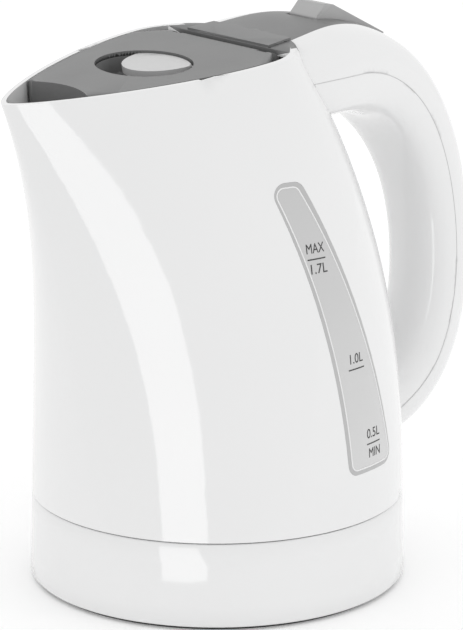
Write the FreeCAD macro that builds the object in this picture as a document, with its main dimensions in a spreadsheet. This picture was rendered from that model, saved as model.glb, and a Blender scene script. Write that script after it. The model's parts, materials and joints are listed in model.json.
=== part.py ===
import FreeCAD, Part
import math
import os
import re
import Sketcher

# Electric kettle on a power base, millimetres, +Z up.
# The origin is on the base's axis at the table. The spout points to -X and the handle to +X.

V = FreeCAD.Vector

# Driving dimensions: alias, value, what it measures
SIZES = [
    ("wall", 2.5, "moulded wall of body, handle and base"),
    ("play", 0.3, "gap between pieces that move past each other"),
    ("pin_play", 0.05, "running clearance on a hinge pin"),
    ("seam_gap", 0.6, "dark line between base rim and kettle"),
    ("seam_radius", 73.0, "outer radius at the seam"),
    ("base_height", 34.2, "top of the base rim"),
    ("base_flare", 1.0, "how much wider the base is at the table"),
    ("edge_break", 1.2, "chamfer on base edges"),
    ("foot_height", 1.5, "rubber foot ring standing proud"),
    ("foot_width", 6.0, "rubber foot ring width"),
    ("foot_circle", 67.5, "middle radius of the foot ring"),
    ("well_floor", 14.5, "level the kettle rests on"),
    ("plate_thick", 2.5, "bottom plate of the base"),
    ("cord_slot", 7.0, "width of the cord notch"),
    ("stem_radius", 16.0, "connector tower"),
    ("stem_top", 24.5, "top of the connector tower"),
    ("stem_flange", 28.0, "flange radius under the well floor"),
    ("groove_inner", 9.5, "inner radius of the tower's ring groove"),
    ("groove_outer", 12.5, "outer radius of the tower's ring groove"),
    ("bore_radius", 4.0, "centre bore of the tower"),
    ("contact_thick", 0.6, "sheet brass of the contacts"),
    ("screw_radius", 1.5, "screw shank"),
    ("screw_head", 2.9, "screw head radius"),
    ("screw_head_thick", 1.4, "screw head height"),
    ("boss_wall", 2.0, "plastic round a screw hole"),
    ("base_screw_circle", 60.0, "radius of the circle of base screws"),
    ("rim_height", 211.5, "rim plane above the table at the axis"),
    ("rim_tilt", 7.0, "rim plane rising towards the handle, degrees"),
    ("crown_height", 216.0, "height where the body sections end"),
    ("rim_half_width", 43.0, "half width of the body at the crown"),
    ("rim_rear_reach", 26.0, "rear half of the body at the crown"),
    ("spout_reach", 100.0, "front half of the body at the crown"),
    ("crown_shift", -6.4, "where the widest line ends up at the crown"),
    ("floor_flange", 3.0, "thickness of the vessel's floor flange"),
    ("heater_hole", 54.0, "hole in the floor flange"),
    ("heater_radius", 60.0, "heater plate radius"),
    ("heater_thick", 1.0, "heater plate"),
    ("seal_thick", 1.2, "silicone seal over the heater plate"),
    ("spreader_radius", 54.0, "aluminium disc under the heater plate"),
    ("spreader_thick", 2.5, "aluminium disc"),
    ("element_circle", 44.0, "centre radius of the heating element"),
    ("element_width", 8.0, "width of the heating element"),
    ("element_height", 6.5, "height of the heating element"),
    ("element_angle", 310.0, "turn of the heating element, degrees"),
    ("housing_gap", 0.6, "gap between kettle skirt and base well"),
    ("housing_wall", 2.2, "wall of the lower housing"),
    ("control_radius", 32.0, "control unit radius"),
    ("socket_play", 1.0, "gap between tower and socket"),
    ("socket_wall", 2.0, "wall of the control's socket"),
    ("disc_radius", 8.0, "cut-out disc radius"),
    ("disc_circle", 20.0, "where the cut-out discs lie"),
    ("housing_screw_circle", 63.6, "radius of the circle of housing screws"),
    ("gauge_bottom", 54.0, "lower end of the water gauge"),
    ("gauge_top", 168.0, "upper end of the water gauge"),
    ("gauge_foot_front", 7.0, "gauge front edge at its lower end"),
    ("gauge_foot_rear", 35.0, "gauge rear edge at its lower end"),
    ("gauge_head_front", -19.5, "gauge front edge at its upper end"),
    ("gauge_head_rear", -5.5, "gauge rear edge at its upper end"),
    ("gauge_bow", 4.2, "how far the gauge's long edges bow to the rear"),
    ("gauge_corner", 5.0, "corner radius of the gauge"),
    ("gauge_border", 1.8, "width of the gauge frame"),
    ("handle_reach", 123.3, "outermost point of the handle"),
    ("handle_mid", 112.0, "height of the outermost point"),
    ("handle_thick", 27.5, "grip thickness"),
    ("handle_half_width", 17.3, "half width of the grip"),
    ("foot_half_width", 15.0, "half width of the handle's lower end"),
    ("handle_foot_low", 38.5, "underside of the handle's lower end"),
    ("handle_foot_high", 62.0, "upper side of the handle's lower end"),
    ("root_top", 217.0, "top of the handle root"),
    ("root_under", 181.0, "roof of the finger gap"),
    ("root_half_width", 42.0, "half width of the handle root at the body"),
    ("tongue_half_width", 28.0, "half width of the rear cover at the lid"),
    ("tongue_tip", 104.0, "where the rear cover ends on the handle"),
    ("hinge_front", 0.5, "lid hinge axis from the base axis"),
    ("barrel_radius", 4.2, "lid hinge barrel"),
    ("barrel_half", 32.0, "half length of the lid hinge barrel"),
    ("corner_half", 33.0, "half length of the straight rear edge of the lid"),
    ("lug_inner", 24.0, "inner face of a hinge lug"),
    ("lug_radius", 2.6, "round end of a hinge lug"),
    ("lug_reach", 10.0, "hinge lug from the hinge axis to its root"),
    ("lug_skin", 1.0, "lid surface over a hinge lug"),
    ("lip_thick", 1.0, "front lip of the rear cover on the deck"),
    ("lip_length", 12.0, "front lip of the rear cover, front to back"),
    ("lug_thick", 4.5, "hinge lug thickness"),
    ("pin_radius", 1.5, "hinge pins"),
    ("lid_gap", 0.8, "gap round the lid"),
    ("lid_depth", 12.0, "depth of the lid"),
    ("lid_wall", 1.8, "lid cover wall"),
    ("liner_thick", 1.6, "lid liner plate"),
    ("bite_reach", -70.4, "deepest point of the pouring gap"),
    ("bite_radius", 40.0, "radius of the lid's front wall"),
    ("recess_middle", -35.0, "middle of the finger recess"),
    ("recess_long", 23.3, "half width of the finger recess"),
    ("recess_short", 15.6, "half length of the finger recess"),
    ("recess_depth", 8.4, "depth of the finger recess"),
    ("well_wall", 1.4, "wall of the finger well"),
    ("tab_edge", -41.5, "free edge of the lid tab"),
    ("tab_round", 16.5, "rounding of the tab's free edge"),
    ("tab_thick", 2.8, "lid tab thickness"),
    ("tab_drop", 0.8, "tab below the lid surface"),
    ("tab_pivot", -23.0, "tab hinge axis"),
    ("tab_pin_radius", 1.0, "tab hinge pin"),
    ("bolt_width", 5.0, "latch bolt width"),
    ("bolt_thick", 3.4, "latch bolt thickness"),
    ("bolt_throw", 1.6, "how far a latch bolt reaches into the rim"),
    ("bolt_inner", 27.0, "inner end of a latch bolt"),
    ("switch_front", 42.0, "front foot of the switch lever"),
    ("switch_peak", 48.5, "highest point of the switch lever"),
    ("switch_rear", 77.0, "rear end of the switch lever"),
    ("switch_rise", 222.3, "height of the switch lever's peak"),
    ("switch_half_width", 8.0, "half width of the switch lever"),
    ("switch_play", 1.4, "slot in front of the switch lever, for its tilt"),
    ("switch_pivot", 60.0, "switch lever axis from the base axis"),
    ("switch_pivot_height", 205.5, "switch lever axis above the table"),
    ("steam_port", 4.0, "radius of the steam port"),
    ("steam_height", 199.0, "steam port above the table"),
    ("filter_front", -68.5, "front face of the spout filter"),
    ("filter_thick", 3.0, "filter frame thickness"),
    ("filter_low", 160.0, "lower edge of the spout filter"),
    ("filter_high", 188.0, "upper edge of the spout filter"),
    ("filter_border", 3.0, "bar width of the filter frame"),
    ("mesh_thick", 0.6, "filter mesh sheet"),
    ("mesh_pitch", 2.4, "spacing of the filter holes"),
    ("mesh_bar", 0.8, "bar between filter holes"),
]

# How each body size changes from the seam (0) to the crown (1)
SIDE_POWER = 2.05
REAR_POWER = 2.5
SHIFT_POWER = 1.8
SPOUT_POWER = 2.8
NOSE_POWER = 1.5
ROUND = 0.5523
NOSE_FULL = 0.13
FLANK_FULL = 0.36
GRIP_FULL = 0.62
ROOT_FULL = 0.88
LEVELS = (0.0, 0.14, 0.28, 0.42, 0.56, 0.70, 0.83, 0.92, 1.0)
FAR = 400.0

doc = FreeCAD.newDocument("Kettle")
sheet = doc.addObject("Spreadsheet::Sheet", "dims")
for row, (alias, value, note) in enumerate(SIZES, start=1):
    sheet.set("A%d" % row, note)
    sheet.set("B%d" % row, str(value))
    sheet.setAlias("B%d" % row, alias)
doc.recompute()

nodes = {}


def bound(text):
    return re.sub(r"[a-z][a-z_]+", lambda hit: "dims." + hit.group(0), text)


def size(text):
    return float(sheet.evalExpression(bound(text)))


def place(thing, x="0", y="0", z="0"):
    thing.setExpression("Placement.Base.x", bound(x))
    thing.setExpression("Placement.Base.y", bound(y))
    thing.setExpression("Placement.Base.z", bound(z))
    return thing


def box(name, length, width, height, x, y, z):
    thing = doc.addObject("Part::Box", name)
    thing.setExpression("Length", bound(length))
    thing.setExpression("Width", bound(width))
    thing.setExpression("Height", bound(height))
    return place(thing, x, y, z)


def rod(name, radius, height, x, y, z, turn=None):
    thing = doc.addObject("Part::Cylinder", name)
    if turn is not None:
        thing.Placement = FreeCAD.Placement(V(), FreeCAD.Rotation(turn, 90))
    thing.setExpression("Radius", bound(radius))
    thing.setExpression("Height", bound(height))
    return place(thing, x, y, z)


def fuse(name, things):
    joined = doc.addObject("Part::MultiFuse", name)
    joined.Shapes = things
    return joined


def group(name, things):
    gathered = doc.addObject("Part::Compound", name)
    gathered.Links = things
    return gathered


def cut(name, base, tool):
    left = doc.addObject("Part::Cut", name)
    left.Base = base
    left.Tool = tool
    return left


def node(label, thing):
    thing.Label = label
    nodes[label] = thing
    return thing


def free_form(label, shape, placement=None):
    thing = doc.addObject("Part::Feature", label)
    thing.Shape = shape
    if placement is not None:
        thing.Placement = placement
    return thing


def turned(name, profile, angle=360.0):
    # A body turned about Z from a closed outline of (radius, height) expressions.
    body = doc.addObject("PartDesign::Body", name)
    sketch = body.newObject("Sketcher::SketchObject", name + "_outline")
    plane = [each for each in body.Origin.OriginFeatures if each.Role == "XZ_Plane"][0]
    sketch.AttachmentSupport = [(plane, "")]
    sketch.MapMode = "FlatFace"
    corners = [V(size(radius), size(height), 0) for radius, height in profile]
    count = len(corners)
    for index in range(count):
        sketch.addGeometry(Part.LineSegment(corners[index], corners[(index + 1) % count]))
    for index in range(count):
        sketch.addConstraint(Sketcher.Constraint("Coincident", index, 2, (index + 1) % count, 1))
    for index, (radius, height) in enumerate(profile):
        sides = (("DistanceX", radius, corners[index].x), ("DistanceY", height, corners[index].y))
        for kind, text, value in sides:
            if text == "0":
                sketch.addConstraint(Sketcher.Constraint("PointOnObject", index, 1, -2))
            else:
                number = sketch.addConstraint(Sketcher.Constraint(kind, -1, 1, index, 1, value))
                sketch.setExpression("Constraints[%d]" % number, bound(text))
    spin = body.newObject("PartDesign::Revolution", name + "_turn")
    spin.Profile = sketch
    spin.ReferenceAxis = (sketch, ["V_Axis"])
    spin.Angle = angle
    body.Tip = spin
    return body


def ring_of(name, count, circle, start, make):
    # Copies of one piece round the axis, as separate solids.
    things = []
    for index in range(count):
        angle = start + 360.0 * index / count
        across = "(%s)*%.6f" % (circle, math.cos(math.radians(angle)))
        along = "(%s)*%.6f" % (circle, math.sin(math.radians(angle)))
        things.append(make("%s_%d" % (name, index), across, along))
    return things


# Power base


def screw(name, x, y, low, length):
    head = rod(name + "_head", "screw_head", "screw_head_thick", x, y, low)
    shank = rod(name + "_shank", "screw_radius", length, x, y, low)
    slot = box(name + "_slot", "screw_head*1.2", "0.7", "0.6", "%s-screw_head*0.6" % x, "%s-0.35" % y, low)
    return cut(name, fuse(name + "_blank", [head, shank]), slot)


def power_base():
    plate_top = "foot_height+plate_thick"
    floor_low = "well_floor-wall"
    outline = [
        ("seam_radius+base_flare-wall", "foot_height"),
        ("seam_radius+base_flare-edge_break", "foot_height"),
        ("seam_radius+base_flare", "foot_height+edge_break"),
        ("seam_radius", "base_height-edge_break/2"),
        ("seam_radius-edge_break/2", "base_height"),
        ("seam_radius-wall", "base_height"),
        ("seam_radius-wall", "well_floor"),
        ("stem_radius+0.5", "well_floor"),
        ("stem_radius+0.5", floor_low),
        ("seam_radius+base_flare-wall", floor_low),
    ]
    cup = turned("base_cup", outline)
    boss_height = "%s-(%s)" % (floor_low, plate_top)
    bosses = ring_of("base_boss", 4, "base_screw_circle", 45.0, lambda name, x, y: rod(
        name, "screw_radius+boss_wall", boss_height, x, y, plate_top))
    pilots = ring_of("base_pilot", 4, "base_screw_circle", 45.0, lambda name, x, y: rod(
        name, "screw_radius+pin_play", boss_height, x, y, plate_top))
    notch_low = rod("notch_round", "cord_slot/2", "wall*4", "seam_radius-wall*2", "0",
                    "foot_height+plate_thick+cord_slot/2", V(0, 1, 0))
    notch = box("notch_slot", "wall*4", "cord_slot", "plate_thick+cord_slot/2", "seam_radius-wall*2",
                "-cord_slot/2", "foot_height")
    bossed = fuse("base_bossed", [cup] + bosses)
    shell = cut("base_drilled", bossed, fuse("base_holes", pilots + [notch_low, notch]))
    node("base_shell", shell)

    disc = turned("plate_disc", [
        ("0", "foot_height"), ("seam_radius+base_flare-wall-play", "foot_height"),
        ("seam_radius+base_flare-wall-play", plate_top), ("0", plate_top)])
    holes = ring_of("plate_hole", 4, "base_screw_circle", 45.0, lambda name, x, y: rod(
        name, "screw_radius+play", "plate_thick*2", x, y, "foot_height-plate_thick/2"))
    sinks = ring_of("plate_sink", 4, "base_screw_circle", 45.0, lambda name, x, y: rod(
        name, "screw_head+play", "screw_head_thick", x, y, "foot_height"))
    node("base_bottom_plate", cut("plate_drilled", disc, fuse("plate_holes", holes + sinks)))

    foot_out = rod("foot_out", "foot_circle+foot_width/2", "foot_height", "0", "0", "0")
    foot_in = rod("foot_in", "foot_circle-foot_width/2", "foot_height", "0", "0", "0")
    node("base_foot_ring", cut("foot_ring", foot_out, foot_in))

    screws = ring_of("base_screw", 4, "base_screw_circle", 45.0, lambda name, x, y: screw(
        name, x, y, "foot_height", "well_floor-wall-foot_height-1"))
    node("base_screws", group("base_screw_set", screws))

    groove_floor = "well_floor-wall"
    tower = turned("tower", [
        ("0", plate_top), ("stem_radius", plate_top), ("stem_radius", groove_floor + "-wall"),
        ("stem_flange", groove_floor + "-wall"), ("stem_flange", groove_floor), ("stem_radius", groove_floor),
        ("stem_radius", "stem_top"), ("groove_outer", "stem_top"), ("groove_outer", groove_floor),
        ("groove_inner", groove_floor), ("groove_inner", "stem_top"), ("bore_radius", "stem_top"),
        ("bore_radius", groove_floor), ("0", groove_floor)])
    node("base_connector", tower)

    strip = "stem_top-well_floor+wall-4"
    rings = []
    for name, inner, outer in (
            ("live_clip", "bore_radius-contact_thick", "bore_radius"),
            ("neutral_clip", "groove_inner", "groove_inner+contact_thick"),
            ("earth_clip", "groove_outer-contact_thick", "groove_outer")):
        rings.append(cut(name, rod(name + "_out", outer, strip, "0", "0", groove_floor),
                         rod(name + "_in", inner, strip, "0", "0", groove_floor)))
    node("connector_contacts", group("tower_contacts", rings))


# Kettle body: horizontal sections from a circle at the seam to the spouted crown


def curve(*points):
    line = Part.BezierCurve()
    line.setPoles([V(*point) for point in points])
    return line.toShape()


def body_section(rise, inset):
    level = seam_level + rise * (size("crown_height") - seam_level)
    radius = size("seam_radius")
    side = radius - (radius - size("rim_half_width")) * rise ** SIDE_POWER - inset
    rear = radius - (radius - size("rim_rear_reach")) * rise ** REAR_POWER - inset
    front = radius + (size("spout_reach") - radius) * rise ** SPOUT_POWER - inset
    middle = size("crown_shift") * rise ** SHIFT_POWER
    nose = (ROUND - (ROUND - NOSE_FULL) * rise ** NOSE_POWER) * side
    flank = middle - (ROUND - (ROUND - FLANK_FULL) * rise ** NOSE_POWER) * front
    back = middle + rear
    tip = middle - front
    shoulder = middle + ROUND * rear
    edges = []
    for hand in (1, -1):
        half = [
            [(back, 0, level), (back, hand * ROUND * side, level), (shoulder, hand * side, level),
             (middle, hand * side, level)],
            [(middle, hand * side, level), (flank, hand * side, level), (tip, hand * nose, level),
             (tip, 0, level)],
        ]
        if hand < 0:
            half = [list(reversed(each)) for each in reversed(half)]
        edges += [curve(*points) for points in half]
    return Part.Wire(edges)


def body_loft(inset):
    return Part.makeLoft([body_section(rise, inset) for rise in LEVELS], True, False)


def slab(x, y, z, length, width, height):
    return Part.makeBox(length, width, height, V(x, y, z))


def lid_frame():
    # Frame of the rim plane: local z = 0 is the rim, local x rises towards the handle.
    return FreeCAD.Placement(V(0, 0, size("rim_height")), FreeCAD.Rotation(V(0, 1, 0), -size("rim_tilt")))


def above_rim():
    block = slab(-FAR, -FAR, 0, 2 * FAR, 2 * FAR, FAR)
    block.Placement = lid_frame()
    return block


def local_rim_face(inset):
    # The body's inside at the rim plane, in the lid's own frame.
    sheet_face = Part.makePlane(2 * FAR, 2 * FAR, V(-FAR, -FAR, 0))
    sheet_face.Placement = lid_frame()
    face = sheet_face.common(body_loft(inset)).Faces[0]
    return face.transformGeometry(lid_frame().inverse().toMatrix())


def hinge_axis():
    # Lid pin in the lid's own frame: the barrel just touches the lid surface.
    return size("hinge_front"), -size("barrel_radius")


def along_y(x, z, radius, low, high):
    return Part.makeCylinder(radius, high - low, V(x, low, z), V(0, 1, 0))


def behind_lid(gap):
    # Everything more than a gap behind the lid hinge, in the lid's own frame.
    axis, drop = hinge_axis()
    return slab(axis + gap, -FAR, -FAR, 2 * FAR, 2 * FAR, 2 * FAR)


def swing_gap():
    # How far behind its hinge the lid's surface turns.
    return size("barrel_radius+play*2")


def gauge_prism(shrink):
    # Leaning window outline in the side view, bowed to the rear, run through the near flank.
    low = size("gauge_bottom") + shrink
    high = size("gauge_top") - shrink
    middle = (low + high) / 2
    bow = size("gauge_bow")
    front_low = V(size("gauge_foot_front") + shrink, 0, low)
    front_high = V(size("gauge_head_front") + shrink, 0, high)
    rear_low = V(size("gauge_foot_rear") - shrink, 0, low)
    rear_high = V(size("gauge_head_rear") - shrink, 0, high)
    front_mid = V((front_low.x + front_high.x) / 2 + bow, 0, middle)
    rear_mid = V((rear_low.x + rear_high.x) / 2 + bow, 0, middle)
    edges = [
        Part.Arc(front_low, front_mid, front_high).toShape(),
        Part.LineSegment(front_high, rear_high).toShape(),
        Part.Arc(rear_high, rear_mid, rear_low).toShape(),
        Part.LineSegment(rear_low, front_low).toShape(),
    ]
    solid = Part.Face(Part.Wire(edges)).extrude(V(0, -FAR, 0))
    upright = [edge for edge in solid.Edges if edge.BoundBox.YLength > FAR / 2]
    return solid.makeFillet(size("gauge_corner") - shrink, upright)


def bolt_box(hand, grow, reach):
    # A latch bolt's straight run in the lid's own frame.
    half = size("bolt_width") / 2 + grow
    top = -size("lid_wall") - size("bolt_thick") * 0.8 + grow
    low = top - size("bolt_thick") - 2 * grow
    inner = size("bolt_inner")
    middle = size("recess_middle")
    if hand > 0:
        return slab(middle - half, inner, low, 2 * half, reach - inner, top - low)
    return slab(middle - half, -reach, low, 2 * half, reach - inner, top - low)


def rim_reach_at_bolt():
    # Half width of the lid's opening at the narrow side of the bolts.
    face = local_rim_face(size("wall"))
    front = size("recess_middle-bolt_width/2-play")
    strip = Part.makeLine(V(front, 0, 0), V(front, FAR, 0))
    return face.common(strip).BoundBox.YMax


def body_shell():
    outer = body_loft(0.0)
    inner = body_loft(size("wall"))
    floor_top = seam_level + size("floor_flange")
    below = slab(-FAR, -FAR, -FAR, 2 * FAR, 2 * FAR, FAR + floor_top)
    hole = Part.makeCylinder(size("heater_hole"), floor_top)
    shell = outer.cut(inner.cut(below)).cut(hole).cut(above_rim())

    # deck that closes the mouth behind the lid, and carries the lid pin in two lugs
    axis, drop = hinge_axis()
    face = local_rim_face(size("wall") - 0.4)
    deck = face.extrude(V(0, 0, -size("wall"))).common(behind_lid(swing_gap()))
    lugs = []
    for hand in (1, -1):
        near = size("lug_inner") if hand > 0 else -size("lug_inner+lug_thick")
        eye = along_y(axis, drop, size("lug_radius"), near, near + size("lug_thick"))
        low = drop - size("lug_radius")
        arm = slab(axis, near, low, size("lug_reach"), size("lug_thick"), size("lug_radius-play"))
        root = slab(axis + swing_gap(), near, low, size("lug_reach") - swing_gap(), size("lug_thick"),
                    -low - size("play"))
        lugs += [eye, arm, root]
    bore = along_y(axis, drop, size("pin_radius+pin_play"), -FAR / 4, FAR / 4)
    top = deck.fuse(lugs).cut(bore)
    top.Placement = lid_frame()
    shell = shell.fuse(top)

    keepers = []
    for hand in (1, -1):
        reach = rim_reach_at_bolt() + size("bolt_throw+play")
        slot = bolt_box(hand, size("play"), reach)
        upward = slab(slot.BoundBox.XMin, slot.BoundBox.YMin, slot.BoundBox.ZMin, slot.BoundBox.XLength,
                      slot.BoundBox.YLength, 30.0)
        upward.Placement = lid_frame()
        keepers.append(upward)
    port = Part.makeCylinder(size("steam_port"), 60.0, V(0, 0, size("steam_height")), V(1, 0, 0))
    pilots = [Part.makeCylinder(size("screw_radius+pin_play"), size("floor_flange") - 0.8, V(x, y, seam_level))
              for x, y in screw_spots("housing_screw_circle", 3, 60.0)]
    shell = shell.cut(keepers).cut(port).cut(pilots).cut(gauge_prism(0.0))
    return shell


def screw_spots(circle, count, start):
    reach = size(circle)
    turns = [math.radians(start + 360.0 * index / count) for index in range(count)]
    return [(reach * math.cos(turn), reach * math.sin(turn)) for turn in turns]


def gauge():
    wall_layer = body_loft(0.0).cut(body_loft(size("wall")))
    gap = size("pin_play")
    frame = wall_layer.common(gauge_prism(gap)).cut(gauge_prism(size("gauge_border")))
    node("gauge_frame", free_form("gauge_frame", frame))
    pane = wall_layer.common(gauge_prism(size("gauge_border") + gap))
    node("gauge_window", free_form("gauge_window", pane))


# Handle: sections between an outer and an inner curve of the side view


def on_curve(points, along):
    back = 1.0 - along
    weights = (back ** 3, 3 * along * back ** 2, 3 * along ** 2 * back, along ** 3)
    x = sum(weight * point[0] for weight, point in zip(weights, points))
    z = sum(weight * point[1] for weight, point in zip(weights, points))
    return V(x, 0, z)


def handle_stations():
    reach = size("handle_reach")
    mid = size("handle_mid")
    inside = reach - size("handle_thick")
    low = size("handle_foot_low")
    high = size("handle_foot_high")
    top = size("root_top")
    under = size("root_under")
    start = size("seam_radius") - 9.0
    outer_low = [(start, low), (start + 40.0, low), (reach, mid - 44.0), (reach, mid)]
    inner_low = [(start - 4.0, high), (start + 24.0, high + 4.0), (inside, mid - 28.0), (inside, mid)]
    outer_high = [(reach, mid), (reach, mid + 48.0), (reach - 25.0, top - 3.0), (reach - 82.0, top)]
    inner_high = [(inside, mid), (inside, mid + 34.0), (inside - 14.0, under - 1.0), (reach - 79.0, under)]
    grip = size("handle_half_width")
    foot = size("foot_half_width")
    root = size("root_half_width")
    stations = []
    for along in (0.0, 0.25, 0.5, 0.75):
        stations.append((on_curve(outer_low, along), on_curve(inner_low, along), foot + (grip - foot) * along,
                         GRIP_FULL))
    for along in (0.0, 0.2, 0.4, 0.6, 0.8, 1.0):
        spread = grip + (0.82 * root - grip) * along ** 2.2
        stations.append((on_curve(outer_high, along), on_curve(inner_high, along), spread,
                         GRIP_FULL + (ROOT_FULL - GRIP_FULL) * along))
    stations.append((V(-12.0, 0, top + 1.0), V(-12.0, 0, under + 2.0), root + 2.0, ROOT_FULL))
    return stations


def handle_loft(inset):
    wires = []
    for outer, inner, spread, fullness in handle_stations():
        middle = (outer + inner) * 0.5
        arm = outer - middle
        arm = arm * ((arm.Length - inset) / arm.Length)
        side = V(0, spread - inset, 0)
        corners = [arm, side, arm * -1.0, side * -1.0]
        edges = []
        for index in range(4):
            first = corners[index]
            last = corners[(index + 1) % 4]
            edges.append(curve(middle + first, middle + first + last * fullness,
                               middle + last + first * fullness, middle + last))
        wires.append(Part.Wire(edges))
    return Part.makeLoft(wires, True, False)


def grip_side():
    # Side-view region on the finger side of the handle's parting line, run across the width.
    stations = handle_stations()[:-1]
    middles = [(outer + inner) * 0.5 for outer, inner, spread, fullness in stations]
    middles[0].x = -FAR / 4
    line = Part.BSplineCurve()
    line.interpolate(middles)
    close = Part.makePolygon([middles[-1], V(-FAR / 4, 0, middles[-1].z), middles[0]])
    wire = Part.Wire([line.toShape()] + close.Edges)
    return Part.Face(wire).extrude(V(0, FAR, 0)).translated(V(0, -FAR / 2, 0))


def tongue_prism(gap):
    # Plan outline of the rear cover: wide at the lid, running to a point on the handle.
    half = size("tongue_half_width") - gap
    tip = size("tongue_tip") - gap
    start = -40.0
    bend = (start + tip) / 2 + 20.0
    points = []
    for hand in (1, -1):
        points.append([V(start, hand * half, 0), V(bend, hand * half * 0.92, 0), V(tip - 14.0, hand * 5.0, 0),
                       V(tip, 0, 0)])
    edges = [curve(*points[0]), curve(*reversed(points[1])), Part.makeLine(points[1][0], points[0][0])]
    face = Part.Face(Part.Wire(edges))
    return face.extrude(V(0, 0, FAR))


def handle():
    body = body_loft(0.0).cut(above_rim())
    behind = behind_lid(swing_gap())
    behind.Placement = lid_frame()
    full = handle_loft(0.0).cut(body).common(behind)
    hollow = handle_loft(size("wall"))
    shell = full.cut(hollow)
    finger = grip_side()
    upper = slab(-FAR, -FAR, size("handle_mid"), 2 * FAR, 2 * FAR, FAR)
    roof = shell.cut(finger)
    cover = roof.common(tongue_prism(size("play/2"))).common(upper)
    outside = roof.cut(tongue_prism(0.0).common(upper))
    inside = shell.common(finger)
    axis, drop = hinge_axis()
    lip = slab(axis + swing_gap(), -FAR / 4, 0.0, size("lip_length"), FAR / 2, size("lip_thick"))
    lip.Placement = lid_frame()
    cover = cover.fuse(lip.common(tongue_prism(size("play/2"))))

    # switch lever slot, and two lugs under the cover that hold its pin and the steam switch
    play = size("play*2")
    reach = size("switch_half_width") + play
    swing = size("switch_play")
    slot = slab(size("switch_front") - swing, -reach, 150.0, size("switch_rear-switch_front") + swing + play,
                2 * reach, 100.0)
    lug_low = size("switch_pivot_height") - 16.0
    lugs = []
    for hand in (1, -1):
        near = reach + 0.4 if hand > 0 else -reach - 0.4 - size("wall")
        lug = slab(size("switch_pivot") - 8.0, near, lug_low, 16.0, size("wall"), 40.0)
        lugs.append(lug.common(handle_loft(1.0)))
    bore = along_y(size("switch_pivot"), size("switch_pivot_height"), size("pin_radius+pin_play"),
                   -FAR / 8, FAR / 8)
    cover = max(cover.cut(slot).fuse(lugs).cut(bore).Solids, key=lambda solid: solid.Volume)
    node("rear_cover", free_form("rear_cover", cover))

    node("handle_inner", free_form("handle_inner", inside))
    outside = max(outside.Solids, key=lambda solid: solid.Volume)
    node("handle_outer", free_form("handle_outer", outside))


# Under the vessel: heater, control and lower housing


def heater():
    seal_low = "base_height+seam_gap-seal_thick"
    plate_low = "%s-heater_thick" % seal_low
    spread_low = "%s-spreader_thick" % plate_low
    node("heater_seal", cut("seal_ring", rod("seal_out", "heater_radius", "seal_thick", "0", "0", seal_low),
                            rod("seal_in", "heater_hole", "seal_thick", "0", "0", seal_low)))
    node("heater_plate", rod("plate", "heater_radius", "heater_thick", "0", "0", plate_low))
    node("heat_spreader", rod("spreader", "spreader_radius", "spreader_thick", "0", "0", spread_low))
    top = "%s" % spread_low
    low = "%s-element_height" % spread_low
    chamfer = "element_width/4"
    node("heating_element", turned("element", [
        ("element_circle-element_width/2", top), ("element_circle+element_width/2", top),
        ("element_circle+element_width/2", "%s+%s" % (low, chamfer)),
        ("element_circle+element_width/2-%s" % chamfer, low),
        ("element_circle-element_width/2+%s" % chamfer, low),
        ("element_circle-element_width/2", "%s+%s" % (low, chamfer))], size("element_angle")))

    housing_outer = "seam_radius-wall-housing_gap"
    floor_top = "well_floor+wall"
    lip = "base_height+seam_gap"
    tub = turned("housing_tub", [
        ("stem_radius+socket_play+socket_wall+play", "well_floor"),
        (housing_outer + "-edge_break", "well_floor"),
        (housing_outer, "well_floor+edge_break"), (housing_outer, lip), (housing_outer + "-housing_wall", lip),
        (housing_outer + "-housing_wall", floor_top), ("heater_radius-1", floor_top),
        ("heater_radius-1", plate_low),
        ("heater_radius-1-housing_wall", plate_low), ("heater_radius-1-housing_wall", floor_top),
        ("stem_radius+socket_play+socket_wall+play", floor_top)])
    length = "%s-(%s)" % (lip, floor_top)
    bosses = ring_of("housing_boss", 3, "housing_screw_circle", 60.0, lambda name, x, y: rod(
        name, "screw_radius+boss_wall-0.3", length, x, y, floor_top))
    holes = ring_of("housing_hole", 3, "housing_screw_circle", 60.0, lambda name, x, y: rod(
        name, "screw_radius+pin_play*2", "base_height", x, y, "well_floor-1"))
    sinks = ring_of("housing_sink", 3, "housing_screw_circle", 60.0, lambda name, x, y: rod(
        name, "screw_head+play", "screw_head_thick+0.4", x, y, "well_floor"))
    node("lower_housing", cut("housing_drilled", fuse("housing_bossed", [tub] + bosses),
                              fuse("housing_holes", holes + sinks)))
    screws = ring_of("housing_screw", 3, "housing_screw_circle", 60.0, lambda name, x, y: screw(
        name, x, y, "well_floor+0.4", "base_height+seam_gap+floor_flange-1-well_floor-0.4"))
    node("housing_screws", group("housing_screw_set", screws))

    socket = "stem_radius+socket_play"
    roof = "stem_top+socket_play"
    node("control_unit", turned("control", [
        ("0", roof), (socket, roof), (socket, "well_floor+0.6"), (socket + "+socket_wall", "well_floor+0.6"),
        (socket + "+socket_wall", floor_top), ("control_radius", floor_top), ("control_radius", roof),
        ("control_radius-3", "%s+3" % roof), ("0", "%s+3" % roof)]))
    blade = "(groove_inner+groove_outer)/2"
    depth = "stem_top+socket_play-well_floor"
    pin = rod("live_pin", "bore_radius-contact_thick*2.4", depth, "0", "0", "well_floor")
    ring_out = rod("ring_out", blade + "+0.4", depth, "0", "0", "well_floor")
    ring_in = rod("ring_in", blade + "-0.4", depth, "0", "0", "well_floor")
    sleeve = cut("neutral_ring", ring_out, ring_in)
    node("control_contacts", group("socket_contacts", [pin, sleeve]))
    disc_low = "%s+3" % roof
    discs = ring_of("cutout", 2, "disc_circle", 90.0, lambda name, x, y: rod(
        name, "disc_radius", "%s-(%s)" % (spread_low, disc_low), x, y, disc_low))
    node("cutout_discs", group("cutout_pair", discs))


# Spout filter


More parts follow.
